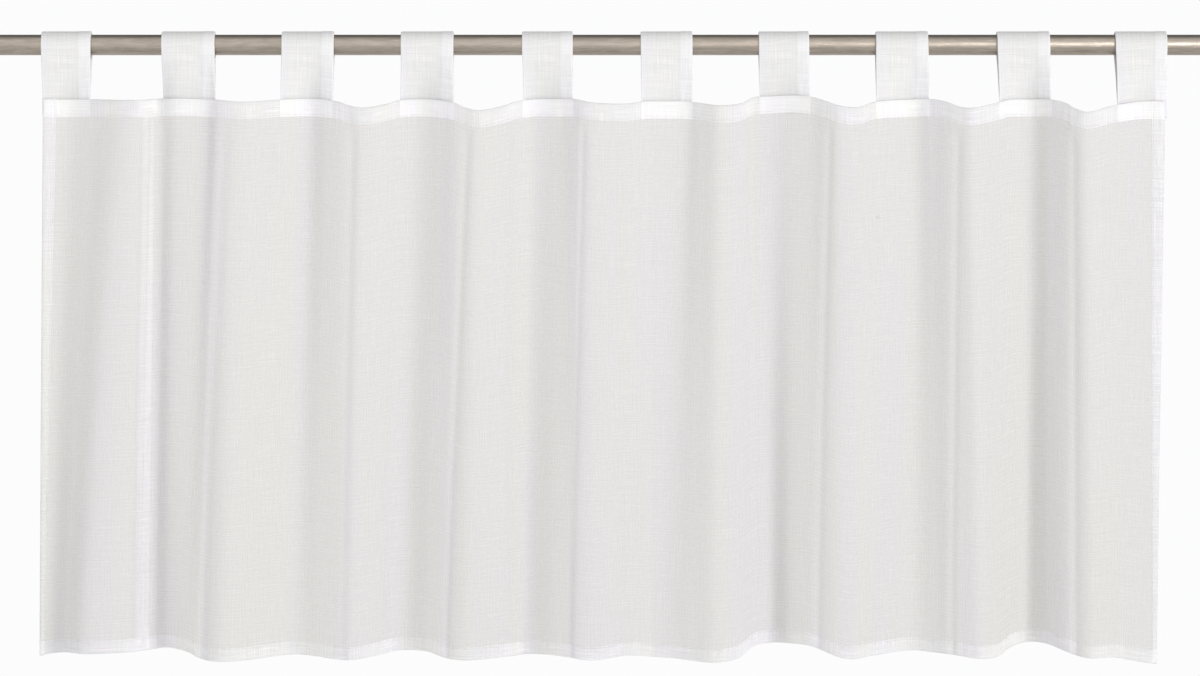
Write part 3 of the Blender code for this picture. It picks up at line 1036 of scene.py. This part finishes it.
def cloth_material(name, thin, thick, fewest, weave, cover, pitch, specks=()):
    """Slubbed cloth, greyer and more sheer where fewer layers lie on each other; slants add painted
    whitening.
    """
    material, tree, shader = new_material(name)
    flat = new_node(tree, "ShaderNodeUVMap", uv_map="cloth").outputs[0]
    layers = new_node(tree, "ShaderNodeAttribute", attribute_name="layers").outputs["Fac"]
    thread = place_group(tree, weave, Cloth_Place=flat, Thread_Pitch=pitch)

    # Each further layer adds less white than the one before it.
    further = calculate(tree, "SUBTRACT", layers, fewest)
    left_over = calculate(tree, "EXPONENT", calculate(tree, "MULTIPLY", further, -LAYER_WHITENING))
    depth = calculate(tree, "SUBTRACT", 1.0, left_over, clamp=True)
    colour = mix_colours(tree, depth, thin, thick)
    tone = calculate(tree, "MULTIPLY_ADD", thread["Tone"], TONE_STRENGTH, 1.0)
    colour = mix_colours(tree, 1.0, colour, combine(tree, tone, tone, tone), "MULTIPLY")
    tint = map_range(tree, thread["Tint"], 0.38, 0.62)
    shade = mix_colours(tree, tint, WARM_TINT, COOL_TINT)
    colour = mix_colours(tree, 1.0, colour, shade, "MULTIPLY")
    for group, speck in specks:
        centre = (speck.x * MM, 0.0, speck.z * MM)
        place = new_node(tree, "ShaderNodeTexCoord").outputs["Object"]
        mark = place_group(
            tree, group, Place=place, Centre=centre, Radius=speck.radius * MM, Strength=speck.strength
        )
        colour = mix_colours(tree, mark["Shade"], colour, SPECK_COLOUR)
    feed(tree, colour, shader.inputs["Base Color"])

    if cover < 1.0:
        single = calculate(tree, "ADD", thread["Cover"], cover, clamp=True)
        open_share = calculate(tree, "SUBTRACT", 1.0, single)
        alpha = calculate(tree, "SUBTRACT", 1.0, calculate(tree, "POWER", open_share, layers))
        feed(tree, alpha, shader.inputs["Alpha"])
    roughness = calculate(tree, "MULTIPLY_ADD", thread["Tone"], -0.3, 0.86)
    feed(tree, roughness, shader.inputs["Roughness"])
    bump = new_node(tree, "ShaderNodeBump")
    bump.inputs["Strength"].default_value = 0.5
    bump.inputs["Distance"].default_value = 0.00022
    feed(tree, thread["Height"], bump.inputs["Height"])
    feed(tree, bump.outputs[0], shader.inputs["Normal"])
    shader.inputs["Specular IOR Level"].default_value = 0.25
    shader.inputs["Sheen Weight"].default_value = 0.12
    shader.inputs["Sheen Roughness"].default_value = 0.6
    return material


def thread_material(colour):
    """Sewing thread, with the fine slanting lines of its twist, their grooves darkened as painted
    shade.
    """
    material, tree, shader = new_material("Hem thread")
    place = new_node(tree, "ShaderNodeTexCoord").outputs["Object"]
    split = new_node(tree, "ShaderNodeSeparateXYZ")
    feed(tree, place, split.inputs[0])
    slant = calculate(tree, "ADD", split.outputs[0], split.outputs[2])
    twist = calculate(tree, "SINE", calculate(tree, "MULTIPLY", slant, 2 * math.pi / 0.0005))
    patchy = noise_at(tree, place, 180.0, 2.0)
    # The thread is darker in the low parts of its twist, which is painted shade in its grooves, and in
    # random duller patches.
    share = calculate(tree, "MULTIPLY_ADD", twist, 0.2, patchy, clamp=True)
    dark = tuple(channel * 0.93 for channel in colour)
    feed(tree, mix_colours(tree, share, dark, tuple(colour)), shader.inputs["Base Color"])
    bump = new_node(tree, "ShaderNodeBump")
    bump.inputs["Distance"].default_value = 0.00008
    feed(tree, twist, bump.inputs["Height"])
    feed(tree, bump.outputs[0], shader.inputs["Normal"])
    feed(tree, map_range(tree, patchy, 0.3, 0.7, 0.5, 0.62), shader.inputs["Roughness"])
    return material


def rod_material(rod):
    """Satin metal, brushed along the rod, with faint scratches and duller patches."""
    material, tree, shader = new_material("Brushed rod metal")
    place = new_node(tree, "ShaderNodeTexCoord").outputs["Object"]
    split = new_node(tree, "ShaderNodeSeparateXYZ")
    feed(tree, place, split.inputs[0])

    def along_the_rod(length, width, seed):
        """Noise that is drawn out along the rod."""
        stretched = combine(
            tree,
            calculate(tree, "MULTIPLY_ADD", split.outputs[0], 1 / length, seed),
            calculate(tree, "DIVIDE", split.outputs[1], width),
            calculate(tree, "DIVIDE", split.outputs[2], width),
        )
        return noise_at(tree, stretched, 1.0, 3.0, 0.6)

    brushing = along_the_rod(0.030, 0.0005, 0.0)
    scratches = map_range(tree, along_the_rod(0.012, 0.0011, 5.0), 0.57, 0.70)
    patches = map_range(tree, along_the_rod(0.022, 0.0035, 11.0), 0.38, 0.62)
    shine = calculate(tree, "MULTIPLY_ADD", brushing, 0.8, calculate(tree, "MULTIPLY", patches, 0.3))
    shine = calculate(tree, "MULTIPLY_ADD", scratches, 0.35, calculate(tree, "SUBTRACT", shine, 0.1))
    colour = mix_colours(
        tree, calculate(tree, "MAXIMUM", shine, 0.0, clamp=True), rod.dark_colour, rod.light_colour
    )
    feed(tree, colour, shader.inputs["Base Color"])
    roughness = calculate(tree, "MULTIPLY_ADD", brushing, 0.22, 0.26)
    feed(tree, calculate(tree, "MULTIPLY_ADD", patches, -0.07, roughness), shader.inputs["Roughness"])
    shader.inputs["Metallic"].default_value = 1.0
    bump = new_node(tree, "ShaderNodeBump")
    bump.inputs["Strength"].default_value = 0.35
    bump.inputs["Distance"].default_value = 0.0001
    feed(tree, calculate(tree, "ADD", brushing, scratches), bump.inputs["Height"])
    feed(tree, bump.outputs[0], shader.inputs["Normal"])
    return material


WHITE = (0.975, 0.975, 0.98)
FLOOR_SIDES = 96
FLOOR_GLOW = 0.66


def make_floor(studio):
    """A round pale floor that glows softly, and is white further out to meet the background."""
    vertices = [(0.0, 0.0, studio.floor_height)]
    for side in range(FLOOR_SIDES):
        angle = 2 * math.pi * side / FLOOR_SIDES
        x, y = studio.floor_radius * math.cos(angle), studio.floor_radius * math.sin(angle)
        vertices.append((x, y, studio.floor_height))
    faces = [(0, side + 1, (side + 1) % FLOOR_SIDES + 1) for side in range(FLOOR_SIDES)]

    material, tree, shader = new_material("Studio floor")
    shader.inputs["Roughness"].default_value = 0.9
    shader.inputs["Specular IOR Level"].default_value = 0.1
    place = new_node(tree, "ShaderNodeTexCoord").outputs["Object"]
    feed(
        tree,
        mix_colours(tree, noise_at(tree, place, 3.0), (0.80, 0.80, 0.80), (0.83, 0.83, 0.83)),
        shader.inputs["Base Color"],
    )
    length = new_node(tree, "ShaderNodeVectorMath", operation="LENGTH")
    feed(tree, place, length.inputs[0])
    far = map_range(tree, length.outputs["Value"], 1.6, 3.4, FLOOR_GLOW, 1.0)
    glow = new_node(tree, "ShaderNodeEmission")
    glow.inputs["Color"].default_value = (*WHITE, 1.0)
    blend = new_node(tree, "ShaderNodeMixShader")
    feed(tree, far, blend.inputs[0])
    feed(tree, shader.outputs[0], blend.inputs[1])
    feed(tree, glow.outputs[0], blend.inputs[2])
    feed(tree, blend.outputs[0], tree.nodes["Material Output"].inputs["Surface"])
    floor = new_mesh_object("floor", vertices, faces, material)
    return floor


def light_the_world(studio):
    """Soft light from all round, weaker from above, with a bright front for the metal to mirror."""
    world = bpy.data.worlds.new("Studio")
    bpy.context.scene.world = world
    world.use_nodes = True
    tree = world.node_tree
    background = tree.nodes["Background"]
    direction = new_node(tree, "ShaderNodeTexCoord").outputs["Generated"]
    split = new_node(tree, "ShaderNodeSeparateXYZ")
    feed(tree, direction, split.inputs[0])
    path = new_node(tree, "ShaderNodeLightPath")
    soft = map_range(tree, split.outputs[2], -0.1, 0.6, 1.0, 0.5)
    soft = calculate(tree, "MULTIPLY", soft, studio.ambient)
    mirrored = map_range(tree, split.outputs[1], -0.7, 0.4, 1.1, 0.2)
    light = new_node(tree, "ShaderNodeMix", data_type="FLOAT")
    feed(tree, path.outputs["Is Glossy Ray"], light.inputs["Factor"])
    feed(tree, soft, light.inputs["A"])
    feed(tree, mirrored, light.inputs["B"])
    grey = combine(tree, *[light.outputs["Result"]] * 3)
    seen = mix_colours(tree, path.outputs["Is Camera Ray"], grey, WHITE)
    feed(tree, seen, background.inputs["Color"])


KEY_FROM_RIGHT = math.radians(33)
KEY_ABOVE = math.radians(6)
KEY_SPREAD = math.radians(34)


def add_key_light(studio):
    """One soft light from the right and the front, which shades the sides of the folds."""
    lamp = bpy.data.lights.new("Key", "SUN")
    lamp.energy = studio.key
    lamp.angle = KEY_SPREAD
    key = bpy.data.objects.new("Key", lamp)
    towards = Vector(
        (
            math.sin(KEY_FROM_RIGHT) * math.cos(KEY_ABOVE),
            -math.cos(KEY_FROM_RIGHT) * math.cos(KEY_ABOVE),
            math.sin(KEY_ABOVE),
        )
    )
    key.rotation_euler = towards.to_track_quat("Z", "Y").to_euler()
    bpy.context.scene.collection.objects.link(key)


def add_camera(studio):
    lens = bpy.data.cameras.new("Camera")
    lens.lens = studio.lens
    lens.sensor_width = 36.0
    camera = bpy.data.objects.new("Camera", lens)
    camera.location = (0.0, -studio.camera_distance, studio.camera_height)
    camera.rotation_euler = (math.pi / 2, 0.0, 0.0)
    bpy.context.scene.collection.objects.link(camera)
    bpy.context.scene.camera = camera


def named_group(name, make):
    return bpy.data.node_groups.get(name) or make()


class CAFE_CURTAIN_OT_stage(Operator):
    """Make the floor, the soft light and the camera"""

    bl_idname = "cafe_curtain.stage"
    bl_label = "Stage"

    def execute(self, context):
        studio = context.scene.cafe_curtain.studio
        make_floor(studio)
        light_the_world(studio)
        add_key_light(studio)
        add_camera(studio)
        context.scene.view_settings.view_transform = "Standard"
        return {"FINISHED"}


class CAFE_CURTAIN_OT_rod(Operator):
    """Make the brushed metal rod"""

    bl_idname = "cafe_curtain.rod"
    bl_label = "Rod"

    def execute(self, context):
        rod = context.scene.cafe_curtain.rod
        piece = make_rod(rod, rod_material(rod))
        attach(piece, BODY)
        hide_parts("rod")
        return {"FINISHED"}


class CAFE_CURTAIN_OT_tabs(Operator):
    """Make the ten sewn tabs"""

    bl_idname = "cafe_curtain.tabs"
    bl_label = "Tabs"

    def execute(self, context):
        settings = context.scene.cafe_curtain
        tabs = settings.tabs
        shape = HungCloth(settings.cloth)
        weave = named_group("Slub weave", slub_weave_group)
        material = cloth_material(
            "Tab cloth",
            tabs.body_colour,
            tabs.seam_colour,
            FEWEST_TAB_LAYERS,
            weave,
            tabs.cover,
            settings.cloth.thread_pitch,
        )
        for number, tab in enumerate(TABS, start=1):
            piece, width, run = make_tab(number, tab, shape, tabs, material)
            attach(piece, BODY)
            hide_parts(f"tab_{number:02d}")
        return {"FINISHED"}


class CAFE_CURTAIN_OT_panel(Operator):
    """Make the sheer cloth with its turned hems and their stitching"""

    bl_idname = "cafe_curtain.panel"
    bl_label = "Cloth"

    def execute(self, context):
        settings = context.scene.cafe_curtain
        cloth = settings.cloth
        shape = HungCloth(cloth)
        weave = named_group("Slub weave", slub_weave_group)
        speck = named_group("Speck", speck_group)
        material = cloth_material(
            "Sheer cloth",
            cloth.single_colour,
            cloth.layered_colour,
            FEWEST_CLOTH_LAYERS,
            weave,
            cloth.cover,
            cloth.thread_pitch,
            [(speck, mark) for mark in SPECKS],
        )
        panel = make_panel(shape, material)
        thread = thread_material(settings.stitches.colour)
        sewing = (settings.stitches, settings.tabs, thread)
        front = make_stitching("stitches_front", shape, *sewing, behind=False)
        back = make_stitching("stitches_back", shape, *sewing, behind=True)
        for piece in (panel, front, back):
            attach(piece, BODY)
        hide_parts("panel")
        flat = (
            shape.width_at(float(shape.last)) + 2 * cloth.side_hem,
            shape.length + cloth.header_hem + cloth.bottom_hem,
        )
        return {"FINISHED"}


class CAFE_CURTAIN_PT_sidebar(Panel):
    """The curtain's steps and settings"""

    bl_label = "Cafe curtain"
    bl_space_type = "VIEW_3D"
    bl_region_type = "UI"
    bl_category = "Cafe curtain"

    def draw(self, context):
        settings = context.scene.cafe_curtain
        for operator in OPERATORS:
            self.layout.operator(operator.bl_idname)
        for group in (settings.cloth, settings.tabs, settings.stitches, settings.rod, settings.studio):
            box = self.layout.box()
            for name in group.bl_rna.properties.keys():
                if name not in {"rna_type", "name"}:
                    box.prop(group, name)


OPERATORS = (
    CAFE_CURTAIN_OT_stage,
    CAFE_CURTAIN_OT_rod,
    CAFE_CURTAIN_OT_tabs,
    CAFE_CURTAIN_OT_panel,
)
CLASSES = (
    ClothSettings,
    TabSettings,
    StitchSettings,
    RodSettings,
    StudioSettings,
    CurtainSettings,
    *OPERATORS,
    CAFE_CURTAIN_PT_sidebar,
)


def register():
    for cls in CLASSES:
        bpy.utils.register_class(cls)
    bpy.types.Scene.cafe_curtain = PointerProperty(type=CurtainSettings)


def unregister():
    del bpy.types.Scene.cafe_curtain
    for cls in reversed(CLASSES):
        bpy.utils.unregister_class(cls)


def main():
    register()
    bpy.ops.cafe_curtain.stage()
    bpy.ops.cafe_curtain.rod()
    bpy.ops.cafe_curtain.tabs()
    bpy.ops.cafe_curtain.panel()


if __name__ == "__main__":
    main()
